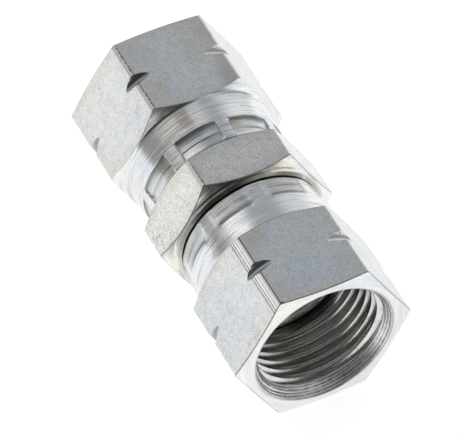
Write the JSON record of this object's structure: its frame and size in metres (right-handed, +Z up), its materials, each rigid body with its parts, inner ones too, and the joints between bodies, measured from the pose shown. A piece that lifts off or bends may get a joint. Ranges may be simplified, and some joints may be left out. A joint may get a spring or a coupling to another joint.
{
  "type": "straight hydraulic union with crimped flare-seat swivel nuts",
  "caption": "Straight tube union with a hexagonal body, a conical flare seat in each nose and a freely turning internally threaded swivel nut crimped on each end.",
  "frame": {"origin": "middle of the body on the common axis of the body and both nuts", "axes": "+X along the axis towards the front nut's mouth, +Z up, square to the flats that the part lies on"},
  "size_m": [0.0506, 0.025, 0.022],
  "materials": {
    "body_plating": "turned and zinc plated, satin",
    "nut_plating": "turned and zinc plated, satin"
  },
  "bodies": {
    "fitting_body": {"union_body": "body_plating"},
    "front_nut": {"front_swivel_nut": "nut_plating"},
    "back_nut": {"back_swivel_nut": "nut_plating"}
  },
  "joints": [
    {"name": "front_nut_swivel", "type": "hinge", "parent": "fitting_body", "child": "front_nut", "pos_m": [0.0111, 0, 0], "axis": [1, 0, 0], "continuous": true},
    {"name": "back_nut_swivel", "type": "hinge", "parent": "fitting_body", "child": "back_nut", "pos_m": [-0.0111, 0, 0], "axis": [1, 0, 0], "continuous": true}
  ]
}
